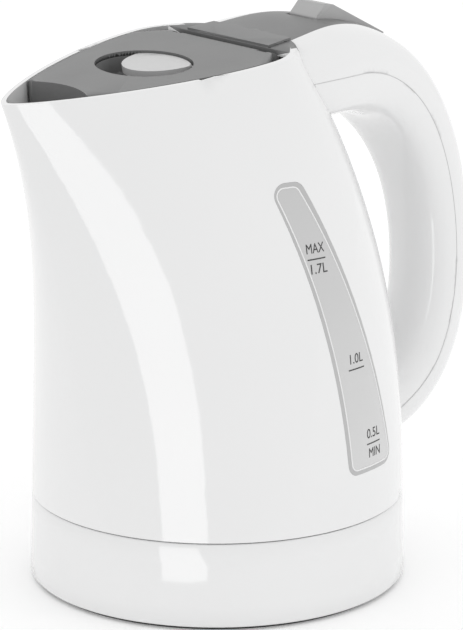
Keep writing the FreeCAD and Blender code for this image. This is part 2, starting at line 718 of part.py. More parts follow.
def reach_inside(solid, x, z):
    # Half width of a solid at one point of its side view.
    line = Part.makeLine(V(x, 0, z), V(x, FAR, z))
    return max(vertex.Y for vertex in line.common(solid).Vertexes)


def spout_filter():
    front = size("filter_front")
    thick = size("filter_thick")
    low = size("filter_low")
    high = size("filter_high")
    border = size("filter_border")
    inside = body_loft(size("wall+play"))
    panel = slab(front, -FAR / 4, low, thick, FAR / 2, high - low).common(inside)
    reach = min(reach_inside(inside, front, level) for level in (low, high)) - border
    window = slab(front - 1, -reach, low + border, thick + 2, 2 * reach, high - low - 2 * border)
    node("filter_frame", free_form("filter_frame", panel.cut(window)))
    plane_x = front + thick / 2 - size("mesh_thick") / 2
    outline = Part.makePolygon([V(plane_x, -reach, low + border), V(plane_x, reach, low + border),
                                V(plane_x, reach, high - border), V(plane_x, -reach, high - border),
                                V(plane_x, -reach, low + border)])
    pitch = size("mesh_pitch")
    hole = size("mesh_pitch-mesh_bar")
    columns = int((2 * reach - size("mesh_bar")) / pitch)
    rows = int((high - low - 2 * border - size("mesh_bar")) / pitch)
    wires = [outline]
    for column in range(columns):
        for row in range(rows):
            y = (column - (columns - 1) / 2) * pitch
            z = (low + high) / 2 + (row - (rows - 1) / 2) * pitch
            corners = [V(plane_x, y + a * hole / 2, z + b * hole / 2)
                       for a, b in ((-1, -1), (1, -1), (1, 1), (-1, 1))]
            wires.append(Part.makePolygon(corners + corners[:1]))
    net = Part.Face(wires, "Part::FaceMakerBullseye").extrude(V(size("mesh_thick"), 0, 0))
    node("filter_mesh", free_form("filter_mesh", net))


# Lid, in the frame of the rim plane


def ellipse(grow, low, high):
    long_half = size("recess_long") + grow
    short_half = size("recess_short") + grow
    middle = size("recess_middle")
    line = Part.Ellipse(V(middle, long_half, low), V(middle - short_half, 0, low), V(middle, 0, low))
    return Part.Face(Part.Wire(line.toShape())).extrude(V(0, 0, high - low))


def recess_half(x):
    # Half width of the finger recess at one place along the lid.
    share = (x - size("recess_middle")) / size("recess_short")
    return size("recess_long") * math.sqrt(1.0 - share ** 2)


def lid_block(inset, bite, low, high):
    plan = local_rim_face(size("wall+lid_gap") + inset)
    block = plan.extrude(V(0, 0, low - high)).translated(V(0, 0, high))
    gap = Part.makeCylinder(size("bite_radius") + bite, 4 * FAR, V(size("bite_reach-bite_radius"), 0, -2 * FAR))
    front = slab(-FAR, -FAR, -FAR, FAR + size("bite_reach-bite_radius"), 2 * FAR, 2 * FAR)
    return block.cut([gap, front] + [rear_corner(hand) for hand in (1, -1)])


def rear_corner(hand):
    # The slanted corner beside the hinge, cut off so that the opening lid clears the narrowing rim.
    axis, drop = hinge_axis()
    half = size("corner_half")
    points = [V(axis + 1.0, hand * (half - 1.0), -FAR), V(axis + 1.0, hand * (half + FAR), -FAR),
              V(axis - FAR, hand * (half + FAR), -FAR)]
    return Part.Face(Part.makePolygon(points + points[:1])).extrude(V(0, 0, 2 * FAR))


def lid():
    frame = lid_frame()
    depth = size("lid_depth")
    wall = size("lid_wall")
    axis, drop = hinge_axis()
    behind = behind_lid(0.0)
    half = size("barrel_half")
    barrel = along_y(axis, drop, size("barrel_radius"), -half, half)
    notch = []
    lift = size("play*2")
    for hand in (1, -1):
        near = size("lug_inner") - lift if hand > 0 else -size("lug_inner+lug_thick") - lift
        width = size("lug_thick") + 2 * lift
        under = size("lug_radius") + lift
        notch.append(slab(axis - under, near, -FAR, under + 1.0, width, FAR - size("lug_skin")))
        notch.append(slab(axis, near, -FAR / 2, FAR / 4, width, FAR))
    block = lid_block(0.0, 0.0, -depth, 0.0).cut(behind)
    ahead = behind.translated(V(-size("barrel_radius+lid_wall"), 0, 0))
    hollow = lid_block(wall, wall, -depth - 1.0, -wall).cut(ahead)
    cover = block.cut(hollow).fuse(barrel).cut(notch)
    pin_hole = along_y(axis, drop, size("pin_radius+pin_play"), -FAR, FAR)
    bolts = [bolt_box(hand, size("pin_play"), FAR / 4) for hand in (1, -1)]
    recess = ellipse(0.0, -wall - 1.0, 1.0)
    spots = lid_screw_spots()
    posts = [Part.makeCylinder(size("screw_radius+boss_wall"), depth - wall - size("liner_thick") + 0.5,
                               V(x, y, -depth + size("liner_thick"))) for x, y in spots]
    pilots = [Part.makeCylinder(size("screw_radius+pin_play"), depth - wall - 1.0, V(x, y, -depth))
              for x, y in spots]
    cover = cover.cut(pin_hole).fuse(posts).cut(bolts).cut(recess).cut(pilots)
    node("lid_cover", free_form("lid_cover", cover, frame))

    liner = lid_block(wall + 0.2, wall + 0.2, -depth, -depth + size("liner_thick"))
    liner = liner.cut(behind.translated(V(-size("barrel_radius+lid_wall") - 0.2, 0, 0)))
    rails = []
    for hand in (1, -1):
        bolt = bolt_box(hand, size("pin_play"), size("bolt_inner") + 6.0).BoundBox
        rails.append(slab(bolt.XMin, bolt.YMin, -depth + size("liner_thick") - 0.2, bolt.XLength, bolt.YLength,
                          bolt.ZMin + depth - size("liner_thick") + 0.2))
    holes = [Part.makeCylinder(size("screw_radius+play"), depth, V(x, y, -depth - 2)) for x, y in spots]
    liner = liner.fuse(rails).cut(holes)
    node("lid_liner", free_form("lid_liner", liner, frame))

    screws = []
    for x, y in spots:
        head_thick = size("screw_head_thick")
        head = Part.makeCylinder(size("screw_head"), head_thick, V(x, y, -depth - head_thick))
        shank = Part.makeCylinder(size("screw_radius"), depth - wall - 2.0, V(x, y, -depth - 0.4))
        screws.append(head.fuse(shank).removeSplitter())
    node("lid_screws", free_form("lid_screws", Part.makeCompound(screws), frame))

    well_low = -size("recess_depth+well_wall")
    cup = ellipse(size("well_wall"), well_low, -wall).cut(ellipse(0.0, well_low + size("well_wall"), 0.0))
    pivot = size("tab_pivot")
    pin_drop = -size("tab_drop+tab_thick/2") - 0.6
    tab_bore = along_y(pivot, pin_drop, size("tab_pin_radius+pin_play"), -FAR / 8, FAR / 8)
    node("finger_well", free_form("finger_well", cup.cut(tab_bore), frame))
    reach = recess_half(pivot)
    pin = along_y(pivot, pin_drop, size("tab_pin_radius"), -reach - 1.0, reach + 1.0)
    node("tab_pin", free_form("tab_pin", pin, frame))

    top = -size("tab_drop")
    tongue = ellipse(-size("play*3"), top - size("tab_thick"), top)
    rounding = size("tab_round")
    tongue = tongue.common(Part.makeCylinder(rounding, FAR, V(size("tab_edge") + rounding, 0, -FAR / 2)))
    eye_radius = size("tab_pin_radius") + 1.0
    eye_half = recess_half(pivot + eye_radius) - 1.5
    eye = along_y(pivot, pin_drop, eye_radius, -eye_half, eye_half)
    tongue = tongue.fuse(eye).cut(tab_bore)
    node("lid_tab", free_form("lid_tab", tongue, frame))

    side = rim_reach_at_bolt()
    for label, hand in (("latch_bolt_left", -1), ("latch_bolt_right", 1)):
        node(label, free_form(label, bolt_box(hand, 0.0, side + size("bolt_throw")), frame))


def lid_screw_spots():
    spots = []
    for x, y in ((-58.0, 18.0), (-12.0, 32.0)):
        spots += [(x, y), (x, -y)]
    return spots


def lid_pin():
    axis, drop = hinge_axis()
    half = size("lug_inner+lug_thick")
    pin = along_y(axis, drop, size("pin_radius"), -half, half)
    node("lid_hinge_pin", free_form("lid_hinge_pin", pin, lid_frame()))


# Steam switch at the top of the handle


def steam_switch():
    front = size("switch_front")
    rear = size("switch_rear")
    peak = size("switch_peak")
    rise = size("switch_rise")
    pivot = V(size("switch_pivot"), 0, size("switch_pivot_height"))
    half = size("switch_half_width")
    side = [(front + 0.4, rise - 13.0), (front + 0.4, rise - 5.0), (peak - 1.5, rise),
            (peak + 2.5, rise - 0.6), (rear, rise - 14.2), (rear, rise - 17.5),
            (pivot.x + 6.0, rise - 17.5), (pivot.x - 6.0, rise - 15.5)]
    corners = [V(x, -half, z) for x, z in side]
    lever = Part.Face(Part.makePolygon(corners + corners[:1])).extrude(V(0, 2 * half, 0))
    crest = [edge for edge in lever.Edges if edge.BoundBox.ZMin > rise - 5.5 and edge.BoundBox.YLength > half]
    lever = lever.makeFillet(1.2, crest)
    eye = along_y(pivot.x, pivot.z, size("pin_radius") + 2.0, -half, half)
    bore = along_y(pivot.x, pivot.z, size("pin_radius+pin_play"), -FAR, FAR)
    node("switch_lever", free_form("switch_lever", lever.fuse(eye).cut(bore)))
    outer = half + size("play*2") + 0.4 + size("wall")
    node("switch_pin", free_form("switch_pin", along_y(pivot.x, pivot.z, size("pin_radius"), -outer, outer)))
    inside = half + size("play*2") + 0.4
    low = pivot.z - 20.0
    case = slab(pivot.x - 10.0, -inside, low, 18.0, 2 * inside, 12.0)
    node("steam_switch", free_form("steam_switch", case))
    disc = Part.makeCylinder(5.0, 1.2, V(pivot.x - 11.2, 0, low + 6.0), V(1, 0, 0))
    node("steam_disc", free_form("steam_disc", disc))


seam_level = size("base_height+seam_gap")
power_base()
node("body_shell", free_form("body_shell", body_shell()))
gauge()
handle()
heater()
spout_filter()
lid_pin()
lid()
steam_switch()
doc.recompute()

for thing in doc.Objects:
    if "Invalid" in thing.State or "Error" in thing.State:
        raise RuntimeError("%s failed: %s" % (thing.Label, thing.State))
for label, thing in nodes.items():
    if thing.Shape.isNull() or not thing.Shape.isValid():
        raise RuntimeError("%s has no valid shape" % label)

os.makedirs("parts", exist_ok=True)
for label, thing in nodes.items():
    thing.Shape.exportStep("parts/%s.step" % label)
    print("%-20s solids %2d volume %10.1f mm3" % (label, len(thing.Shape.Solids), thing.Shape.Volume))
print("%d nodes written" % len(nodes))
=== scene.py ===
import json
import math

import bmesh
import bpy
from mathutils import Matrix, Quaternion, Vector
from mathutils.bvhtree import BVHTree


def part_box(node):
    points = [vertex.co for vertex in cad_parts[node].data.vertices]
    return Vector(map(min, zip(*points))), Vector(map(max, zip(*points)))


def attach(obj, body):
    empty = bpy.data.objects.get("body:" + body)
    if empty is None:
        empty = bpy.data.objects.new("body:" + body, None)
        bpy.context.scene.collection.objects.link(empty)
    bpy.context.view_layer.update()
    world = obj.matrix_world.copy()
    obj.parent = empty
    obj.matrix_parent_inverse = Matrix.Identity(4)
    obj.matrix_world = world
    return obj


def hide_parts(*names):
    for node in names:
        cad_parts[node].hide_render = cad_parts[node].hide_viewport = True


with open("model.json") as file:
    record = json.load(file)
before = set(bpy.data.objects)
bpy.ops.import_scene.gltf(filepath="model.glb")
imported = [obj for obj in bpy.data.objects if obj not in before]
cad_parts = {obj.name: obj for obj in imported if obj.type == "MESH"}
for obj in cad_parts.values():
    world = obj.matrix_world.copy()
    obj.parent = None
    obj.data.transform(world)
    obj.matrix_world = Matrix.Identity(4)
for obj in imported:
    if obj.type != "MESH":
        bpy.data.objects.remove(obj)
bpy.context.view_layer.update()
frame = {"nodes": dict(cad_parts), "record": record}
print("kettle frame loaded:", len(frame["nodes"]), "nodes")


# camera, light and floor

studio = {
    "cameraPlace": (-0.7696, -0.9850, 0.4357),
    "cameraTilt": 75.13,      # degrees from straight down
    "cameraTurn": -38.26,
    "lens": 189.8,
    "sensor": 36.0,
    "sky": 0.97,
    "keyPlace": (-1.272, -0.795, -0.20),   # tall soft box that leaves the bright band on the body
    "keySize": (0.70, 1.9),
    "keyPower": 8.0,
    "keyLean": 6.0,          # degrees that the box leans, as the band does
    "rimPlace": (0.9, -1.5, 1.3),
    "rimSize": (0.8, 0.8),
    "rimPower": 1.6,
    "aim": (0, 0, 0.12),      # both soft boxes face this place on the body
    "floorSize": 6.0,
    "floorEdge": 0.14,        # the floor stops here on the soft box's side, so that it shows in the gloss
}


def aimed(place, target, lean):
    facing = (Vector(target) - Vector(place)).to_track_quat("-Z", "Y")
    return (facing @ Quaternion((0, 0, 1), math.radians(lean))).to_euler()


def softBox(name, place, size, power, lean=0.0):
    light = bpy.data.lights.new(name, "AREA")
    light.shape = "RECTANGLE"
    light.size, light.size_y = size
    light.energy = power
    lamp = bpy.data.objects.new(name, light)
    lamp.location = place
    lamp.rotation_euler = aimed(place, studio["aim"], lean)
    lamp.visible_camera = False
    bpy.context.collection.objects.link(lamp)
    return lamp


cameraData = bpy.data.cameras.new("photoCamera")
cameraData.lens = studio["lens"]
cameraData.sensor_width = studio["sensor"]
camera = bpy.data.objects.new("photoCamera", cameraData)
camera.location = studio["cameraPlace"]
camera.rotation_euler = (math.radians(studio["cameraTilt"]), 0, math.radians(studio["cameraTurn"]))
bpy.context.collection.objects.link(camera)
bpy.context.scene.camera = camera

keyBox = softBox("keyBox", studio["keyPlace"], studio["keySize"], studio["keyPower"], studio["keyLean"])
keyBox.visible_diffuse = False          # it shows only as a reflection
softBox("rimBox", studio["rimPlace"], studio["rimSize"], studio["rimPower"])

sky = bpy.data.worlds.new("studioSky")
sky.use_nodes = True
sky.node_tree.nodes["Background"].inputs["Color"].default_value = (1, 1, 1, 1)
sky.node_tree.nodes["Background"].inputs["Strength"].default_value = studio["sky"]
bpy.context.scene.world = sky
bpy.context.scene.view_settings.view_transform = "Standard"
print("camera and light set")


# shader maths: a wrapped socket that sums and products can be written on

class Wire:
    def __init__(self, tree, socket=None):
        self.tree = tree
        self.socket = socket

    def node(self, kind, settings=None, inputs=None, output=0):
        made = self.tree.nodes.new(kind)
        for name, value in (settings or {}).items():
            setattr(made, name, value)
        for name, value in (inputs or {}).items():
            if isinstance(value, Wire):
                self.tree.links.new(value.socket, made.inputs[name])
            else:
                made.inputs[name].default_value = value
        return Wire(self.tree, made.outputs[output] if len(made.outputs) else None)

    def maths(self, operation, first, second):
        return self.node("ShaderNodeMath", {"operation": operation}, {0: first, 1: second})

    def __add__(self, other):
        return self.maths("ADD", self, other)

    def __mul__(self, other):
        return self.maths("MULTIPLY", self, other)

    def mixed(self, first, second):
        # this value as the share of the second colour
        inputs = {0: self, 6: first, 7: second}
        return self.node("ShaderNodeMix", {"data_type": "RGBA"}, inputs, 2)


def newFinish(name):
    material = bpy.data.materials.new(name)
    material.use_nodes = True
    material.node_tree.nodes.clear()
    return material, Wire(material.node_tree).node("ShaderNodeTexCoord", output="Object")


def surfaceOf(coords, inputs):
    shader = coords.node("ShaderNodeBsdfPrincipled", {}, inputs)
    coords.node("ShaderNodeOutputMaterial", {}, {"Surface": shader})


def grey(level, warmth=0.0):
    return (level + warmth, level, level - warmth, 1.0)


cloudDetail = {"drift": 3.0, "grain": 2.0, "rub": 5.0, "strokes": 4.0, "stain": 6.0}


def cloudOn(coords, scale, kind):
    inputs = {"Vector": coords, "Scale": scale, "Detail": cloudDetail[kind]}
    return coords.node("ShaderNodeTexNoise", {}, inputs)


def bumpOf(height, strength, distance):
    inputs = {"Strength": strength, "Distance": distance, "Height": height}
    return height.node("ShaderNodeBump", {}, inputs)


# moulded plastics: a slow drift of tone, a fine moulded grain, and rubbed patches that shine more

def mouldedPlastic(name, look):
    material, coords = newFinish(name)
    drift = cloudOn(coords, look["driftScale"], "drift")
    grain = cloudOn(coords, look["grainScale"], "grain")
    rubbed = cloudOn(coords, look["rubScale"], "rub")
    color = drift.mixed(look["color"], look["deepColor"])
    roughness = rubbed * look["rubDepth"] + grain * look["grainRough"] + look["roughness"]
    bump = bumpOf(grain, look["grainStrength"], look["grainDepth"])
    surfaceOf(coords, {"Base Color": color, "Roughness": roughness, "Normal": bump,
                       "IOR": look["ior"], "Coat Weight": look["coat"], "Coat Roughness": look["coatRough"]})
    return material


whiteBodyLook = {
    "color": grey(0.835), "deepColor": grey(0.795, -0.002), "driftScale": 9.0,
    "grainScale": 900.0, "grainStrength": 0.03, "grainDepth": 0.00001, "grainRough": 0.02,
    "rubScale": 35.0, "rubDepth": 0.03, "roughness": 0.05, "ior": 1.53, "coat": 0.35, "coatRough": 0.03,
}
greyLidLook = {
    "color": grey(0.19), "deepColor": grey(0.155, -0.001), "driftScale": 14.0,
    "grainScale": 2600.0, "grainStrength": 0.25, "grainDepth": 0.00004, "grainRough": 0.08,
    "rubScale": 45.0, "rubDepth": 0.10, "roughness": 0.34, "ior": 1.5, "coat": 0.05, "coatRough": 0.3,
}
silverTabLook = {
    "color": grey(0.56), "deepColor": grey(0.47), "driftScale": 60.0,
    "grainScale": 3200.0, "grainStrength": 0.15, "grainDepth": 0.00003, "grainRough": 0.06,
    "rubScale": 90.0, "rubDepth": 0.10, "roughness": 0.24, "ior": 1.6, "coat": 0.3, "coatRough": 0.15,
}
switchLook = {
    "color": grey(0.47), "deepColor": grey(0.41), "driftScale": 40.0,
    "grainScale": 2600.0, "grainStrength": 0.22, "grainDepth": 0.00004, "grainRough": 0.08,
    "rubScale": 70.0, "rubDepth": 0.12, "roughness": 0.32, "ior": 1.5, "coat": 0.05, "coatRough": 0.3,
}
frameLook = {
    "color": grey(0.50), "deepColor": grey(0.46), "driftScale": 25.0,
    "grainScale": 2400.0, "grainStrength": 0.12, "grainDepth": 0.00003, "grainRough": 0.05,
    "rubScale": 60.0, "rubDepth": 0.08, "roughness": 0.28, "ior": 1.5, "coat": 0.1, "coatRough": 0.2,
}
darkLook = {
    "color": grey(0.045), "deepColor": grey(0.03), "driftScale": 30.0,
    "grainScale": 2200.0, "grainStrength": 0.4, "grainDepth": 0.00006, "grainRough": 0.1,
    "rubScale": 80.0, "rubDepth": 0.15, "roughness": 0.42, "ior": 1.5, "coat": 0.0, "coatRough": 0.3,
}
linerLook = {
    "color": grey(0.62), "deepColor": grey(0.56, 0.004), "driftScale": 20.0,
    "grainScale": 2000.0, "grainStrength": 0.2, "grainDepth": 0.00005, "grainRough": 0.08,
    "rubScale": 60.0, "rubDepth": 0.1, "roughness": 0.36, "ior": 1.5, "coat": 0.0, "coatRough": 0.3,
}
footRubberLook = {
    "color": grey(0.035), "deepColor": grey(0.055), "driftScale": 50.0,
    "grainScale": 1500.0, "grainStrength": 0.5, "grainDepth": 0.0001, "grainRough": 0.08,
    "rubScale": 120.0, "rubDepth": 0.15, "roughness": 0.7, "ior": 1.5, "coat": 0.0, "coatRough": 0.3,
}
sealLook = {
    "color": grey(0.66, 0.01), "deepColor": grey(0.58, 0.012), "driftScale": 50.0,
    "grainScale": 1200.0, "grainStrength": 0.25, "grainDepth": 0.00006, "grainRough": 0.06,
    "rubScale": 120.0, "rubDepth": 0.1, "roughness": 0.5, "ior": 1.43, "coat": 0.0, "coatRough": 0.3,
}
printLook = {
    "color": grey(0.028), "deepColor": grey(0.045), "driftScale": 300.0,
    "grainScale": 4000.0, "grainStrength": 0.1, "grainDepth": 0.00001, "grainRough": 0.05,
    "rubScale": 600.0, "rubDepth": 0.1, "roughness": 0.45, "ior": 1.5, "coat": 0.0, "coatRough": 0.3,
}
trimLineLook = {
    "color": grey(0.86), "deepColor": grey(0.82), "driftScale": 80.0,
    "grainScale": 3000.0, "grainStrength": 0.08, "grainDepth": 0.00001, "grainRough": 0.04,
    "rubScale": 300.0, "rubDepth": 0.08, "roughness": 0.3, "ior": 1.5, "coat": 0.0, "coatRough": 0.3,
}


# metals: brushed or cast, with stains that dull them

def bareMetal(name, look):
    material, coords = newFinish(name)
    turned = coords.node("ShaderNodeMapping", {}, {"Vector": coords, "Scale": look["brushScale"]})
    strokes = cloudOn(turned, 1.0, "strokes")
    stain = cloudOn(coords, look["stainScale"], "stain")
    color = stain.mixed(look["color"], look["stainColor"])
    roughness = strokes * look["strokeRough"] + stain * look["stainRough"] + look["roughness"]
    bump = bumpOf(strokes, look["strokeStrength"], look["strokeDepth"])
    surfaceOf(coords, {"Base Color": color, "Metallic": 1.0, "Roughness": roughness, "Normal": bump})
    return material


steelLook = {
    "color": grey(0.62, -0.004), "stainColor": grey(0.52, 0.006), "stainScale": 40.0, "stainRough": 0.12,
    "brushScale": (90.0, 2400.0, 2400.0), "strokeRough": 0.12, "strokeStrength": 0.15, "strokeDepth": 0.00003,
    "roughness": 0.2,
}
castLook = {
    "color": grey(0.70, -0.003), "stainColor": grey(0.58), "stainScale": 70.0, "stainRough": 0.1,
    "brushScale": (1500.0, 1500.0, 1500.0), "strokeRough": 0.15, "strokeStrength": 0.35,
    "strokeDepth": 0.00008, "roughness": 0.38,
}
brassLook = {
    "color": (0.78, 0.57, 0.24, 1.0), "stainColor": (0.60, 0.40, 0.16, 1.0), "stainScale": 160.0,
    "stainRough": 0.15, "brushScale": (300.0, 300.0, 3000.0), "strokeRough": 0.1, "strokeStrength": 0.15,
    "strokeDepth": 0.00003, "roughness": 0.2,
}


# the gauge pane: frosted plastic, paler towards its foot

gaugeLook = {
    "lowColor": grey(0.63), "highColor": grey(0.54), "low": 0.055, "high": 0.168,
    "frostScale": 2600.0, "frostStrength": 0.03, "frostDepth": 0.00001, "frostRough": 0.06,
    "frostShare": 0.02, "roughness": 0.2, "coat": 0.25, "coatRough": 0.08, "ior": 1.52,
}


def frostedPane(name, look):
    material, coords = newFinish(name)
    height = coords.node("ShaderNodeSeparateXYZ", {}, {0: coords}, 2)
    rise = coords.node("ShaderNodeMapRange", {}, {"Value": height, "From Min": look["low"],
                                                  "From Max": look["high"]})
    frost = cloudOn(coords, look["frostScale"], "grain")
    share = rise * (1 - look["frostShare"]) + frost * look["frostShare"]
    color = share.mixed(look["lowColor"], look["highColor"])
    bump = bumpOf(frost, look["frostStrength"], look["frostDepth"])
    surfaceOf(coords, {"Base Color": color, "Roughness": frost * look["frostRough"] + look["roughness"],
                       "Normal": bump, "IOR": look["ior"], "Coat Weight": look["coat"],
                       "Coat Roughness": look["coatRough"]})
    return material


finishes = {
    "white_plastic": mouldedPlastic("whiteGlossPlastic", whiteBodyLook),
    "grey_plastic": mouldedPlastic("greySatinPlastic", greyLidLook),
    "silver_plastic": mouldedPlastic("silverTabPlastic", silverTabLook),
    "switch_plastic": mouldedPlastic("switchPlastic", switchLook),
    "frame_plastic": mouldedPlastic("gaugeFramePlastic", frameLook),
    "clear_plastic": frostedPane("frostedGaugePane", gaugeLook),
    "dark_plastic": mouldedPlastic("darkInnerPlastic", darkLook),
    "liner_plastic": mouldedPlastic("paleLinerPlastic", linerLook),
    "steel": bareMetal("brushedSteel", steelLook),
    "aluminium": bareMetal("castAluminium", castLook),
    "brass": bareMetal("springBrass", brassLook),
    "rubber": mouldedPlastic("footRubber", footRubberLook),
    "silicone": mouldedPlastic("sealSilicone", sealLook),
}
print("finishes made:", len(finishes))


# every node keeps its place: the curved outer ones are shown by smooth copies, the others as they are

coverUp = {
    "smoothNodes": ["base_shell", "body_shell", "lower_housing", "gauge_frame", "gauge_window", "rear_cover",
                    "handle_inner", "handle_outer", "filter_frame", "lid_cover", "lid_liner", "finger_well",
                    "lid_tab", "switch_lever", "base_foot_ring", "heater_plate", "heater_seal",
                    "base_connector"],
    "weld": 0.000004,
    "sharpAngle": 32.0,
    "flatNodes": ["lid_cover", "lid_liner", "finger_well", "lid_tab", "switch_lever", "rear_cover"],
    "flatWeight": 80,
}
slotOf = {entry["node"]: entry["material_slot"] for entry in frame["record"]["subparts"]}
bodyOf = {node: body for body, nodes in frame["record"]["behaviour"]["bodies"].items() for node in nodes}


def linked(name, mesh):
    piece = bpy.data.objects.new(name, mesh)
    bpy.context.collection.objects.link(piece)
    return piece


def dressed(piece, body, material):
    piece.data.materials.clear()
    piece.data.materials.append(material)
    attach(piece, body)
    return piece


def weldedCopy(node):
    work = bmesh.new()
    work.from_mesh(frame["nodes"][node].data)
    bmesh.ops.remove_doubles(work, verts=work.verts, dist=coverUp["weld"])
    mesh = bpy.data.meshes.new(node + "Smooth")
    work.to_mesh(mesh)
    work.free()
    return mesh


def evaluated(piece):
    view = bpy.context.evaluated_depsgraph_get()
    return bpy.data.meshes.new_from_object(piece.evaluated_get(view), depsgraph=view)


def evenNormals(piece):
    # large flat faces keep their own normal, so that no long triangle shades across them
    weigh = piece.modifiers.new("evenNormals", "WEIGHTED_NORMAL")
    weigh.keep_sharp = True
    weigh.weight = coverUp["flatWeight"]
    shaped = evaluated(piece)
    piece.modifiers.remove(weigh)
    piece.data = shaped


smoothPieces = {}
for node in coverUp["smoothNodes"]:
    mesh = weldedCopy(node)
    mesh.shade_smooth()
    mesh.set_sharp_from_angle(angle=math.radians(coverUp["sharpAngle"]))
    piece = linked(node + "Smooth", mesh)
    if node in coverUp["flatNodes"]:
        evenNormals(piece)
    dressed(piece, bodyOf[node], finishes[slotOf[node]])
    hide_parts(node)
    smoothPieces[node] = piece
for node, part in frame["nodes"].items():
    part.data.materials.clear()
    part.data.materials.append(finishes[slotOf[node]])
print("nodes dressed:", len(smoothPieces), "smooth copies")


# the deck and lugs under the lid's rear edge take the lid's grey, within a box in the rim's own plane

deckPart = {"rimHeight": 0.2115, "tilt": 7.0, "front": 0.0015, "back": 0.060, "low": -0.0078, "high": 0.0004,
            "half": 0.034}
bodyMesh = smoothPieces["body_shell"].data
bodyMesh.materials.append(finishes["grey_plastic"])
rimTilt = math.radians(deckPart["tilt"])
greyFaces = 0
for face in bodyMesh.polygons:
    middle = face.center - Vector((0, 0, deckPart["rimHeight"]))
    along = middle.x * math.cos(rimTilt) + middle.z * math.sin(rimTilt)
    level = middle.z * math.cos(rimTilt) - middle.x * math.sin(rimTilt)
    inside = deckPart["front"] < along < deckPart["back"] and abs(middle.y) < deckPart["half"]
    if inside and deckPart["low"] < level < deckPart["high"]:
        face.material_index = 1
        greyFaces += 1
print("deck faces in grey:", greyFaces)


# shared steps: geometry node trees with named inputs, search trees and joined meshes

def newTree(name, sizes):
    tree = bpy.data.node_groups.new(name, "GeometryNodeTree")
    tree.interface.new_socket("Geometry", in_out="OUTPUT", socket_type="NodeSocketGeometry")
    tree.interface.new_socket("Geometry", in_out="INPUT", socket_type="NodeSocketGeometry")
    for label, kind in sizes:
        tree.interface.new_socket(label, in_out="INPUT", socket_type=kind)
    return tree, tree.nodes.new("NodeGroupInput"), tree.nodes.new("NodeGroupOutput")


def treeNode(tree, kind, settings=None, inputs=None):
    made = tree.nodes.new(kind)
    for name, value in (settings or {}).items():
        setattr(made, name, value)
    for name, value in (inputs or {}).items():
        if isinstance(value, bpy.types.NodeSocket):
            tree.links.new(value, made.inputs[name])
        else:
            made.inputs[name].default_value = value
    return made


def tubeAlong(tree, given, line):
    ring = treeNode(tree, "GeometryNodeCurvePrimitiveCircle", {}, {"Resolution": given.outputs["Sides"],
                                                                   "Radius": given.outputs["Radius"]})
    tube = treeNode(tree, "GeometryNodeCurveToMesh", {}, {"Curve": line.outputs[0],
                                                          "Profile Curve": ring.outputs[0]})
    return tube


def closeTree(tree, given, taken, shape):
    # the last steps of every tree: plain geometry with its material
    real = treeNode(tree, "GeometryNodeRealizeInstances", {}, {0: shape.outputs[0]})
    paint = treeNode(tree, "GeometryNodeSetMaterial", {}, {"Geometry": real.outputs[0],
                                                           "Material": given.outputs["Material"]})
    tree.links.new(paint.outputs[0], taken.inputs[0])
    return tree


def grown(name, mesh, tree, values):
    # the tree's result as a plain mesh of its own
    seed = linked(name + "Seed", mesh)
    modifier = seed.modifiers.new("grow", "NODES")
    modifier.node_group = tree
    for item in tree.interface.items_tree:
        if item.in_out == "INPUT" and item.name in values:
            modifier[item.identifier] = values[item.name]
    result = evaluated(seed)
    seed.modifiers.remove(modifier)
    bpy.data.objects.remove(seed)
    result.name = name
    return result


def meshTree(mesh):
    return BVHTree.FromPolygons([v.co for v in mesh.vertices], [p.vertices[:] for p in mesh.polygons])


def joined(name, meshes):
    work = bmesh.new()
    for mesh in meshes:
        work.from_mesh(mesh)
    whole = bpy.data.meshes.new(name)
    work.to_mesh(whole)
    work.free()
    return whole


# thin pale line round the gauge pane, on the outer edge of its face

gaugeLine = {"radius": 0.00028, "sides": 8, "edgeAngle": math.radians(50.0), "reach": 0.0004,
             "standOff": 0.2, "rayLength": 1.0}


def edgeLineTree():
    sizes = [("Radius", "NodeSocketFloat"), ("Sides", "NodeSocketInt"), ("Edge Angle", "NodeSocketFloat"),
             ("Reach", "NodeSocketFloat"), ("Stand Off", "NodeSocketFloat"),
             ("Ray Length", "NodeSocketFloat"), ("Material", "NodeSocketMaterial")]
    tree, given, taken = newTree("gaugeEdgeLine", sizes)
    place = treeNode(tree, "GeometryNodeInputPosition")
    parts = treeNode(tree, "ShaderNodeSeparateXYZ", {}, {0: place.outputs[0]})
    back = treeNode(tree, "ShaderNodeMath", {"operation": "MULTIPLY"},
                    {0: given.outputs["Stand Off"], 1: -1.0})
    start = treeNode(tree, "ShaderNodeCombineXYZ", {}, {0: parts.outputs[0], 1: back.outputs[0],
                                                        2: parts.outputs[2]})
    cast = treeNode(tree, "GeometryNodeRaycast", {}, {"Target Geometry": given.outputs["Geometry"],
                                                      "Source Position": start.outputs[0],
                                                      "Ray Direction": (0.0, 1.0, 0.0),
                                                      "Ray Length": given.outputs["Ray Length"]})
    depth = treeNode(tree, "ShaderNodeMath", {"operation": "ADD"}, {0: parts.outputs[1],
                                                                    1: given.outputs["Stand Off"]})
    behind = treeNode(tree, "ShaderNodeMath", {"operation": "SUBTRACT"},
                      {0: depth.outputs[0], 1: cast.outputs["Hit Distance"]})
    outer = treeNode(tree, "FunctionNodeCompare", {"operation": "LESS_THAN"},
                     {0: behind.outputs[0], 1: given.outputs["Reach"]})
    bend = treeNode(tree, "GeometryNodeInputMeshEdgeAngle")
    sharp = treeNode(tree, "FunctionNodeCompare", {"operation": "GREATER_THAN"},
                     {0: bend.outputs[0], 1: given.outputs["Edge Angle"]})
    both = treeNode(tree, "FunctionNodeBooleanMath", {"operation": "AND"},
                    {0: outer.outputs[0], 1: sharp.outputs[0]})
    line = treeNode(tree, "GeometryNodeMeshToCurve", {}, {"Mesh": given.outputs["Geometry"],
                                                          "Selection": both.outputs[0]})
    return closeTree(tree, given, taken, tubeAlong(tree, given, line))


